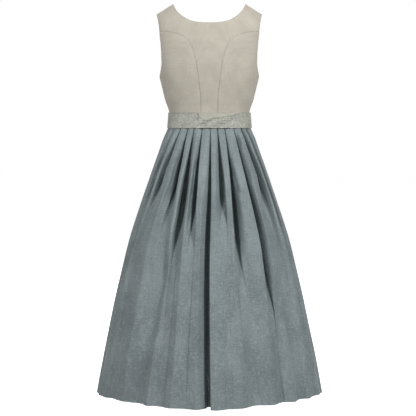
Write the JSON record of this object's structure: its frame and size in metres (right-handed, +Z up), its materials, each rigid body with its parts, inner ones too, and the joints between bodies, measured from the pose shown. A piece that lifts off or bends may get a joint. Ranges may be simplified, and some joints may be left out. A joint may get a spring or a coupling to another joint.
{
  "type": "dirndl",
  "caption": "Long sleeveless dirndl, worn and hollow: fitted bodice, pleated skirt, gathered apron with band and ties crossing at the back and a bow at the front.",
  "frame": {"origin": "midway between the two neck points of the shoulders, where the wearer's shoulders hold the dress", "axes": "+Z up, +Y towards the back, +X towards the wearer's left"},
  "size_m": [0.789, 0.5556, 1.345],
  "materials": {
    "bodice_linen": "plain matt linen weave",
    "skirt_cloth": "fine slubbed cloth with a soft tone-on-tone pattern",
    "apron_cloth": "silvery jacquard with small curls"
  },
  "bodies": {
    "root": {"bodice_back_centre": "bodice_linen", "bodice_side_back_left": "bodice_linen", "bodice_side_back_right": "bodice_linen", "bodice_side_front_left": "bodice_linen", "bodice_side_front_right": "bodice_linen", "bodice_front_left": "bodice_linen", "bodice_front_right": "bodice_linen", "skirt_back_left": "skirt_cloth", "skirt_back_right": "skirt_cloth", "skirt_front_left": "skirt_cloth", "skirt_front_right": "skirt_cloth", "apron_panel": "apron_cloth", "apron_band": "apron_cloth", "apron_tie_left": "apron_cloth", "apron_tie_right": "apron_cloth", "tie_knot": "apron_cloth", "tie_loop_left": "apron_cloth", "tie_loop_right": "apron_cloth", "tie_end_left": "apron_cloth", "tie_end_right": "apron_cloth"}
  },
  "joints": []
}
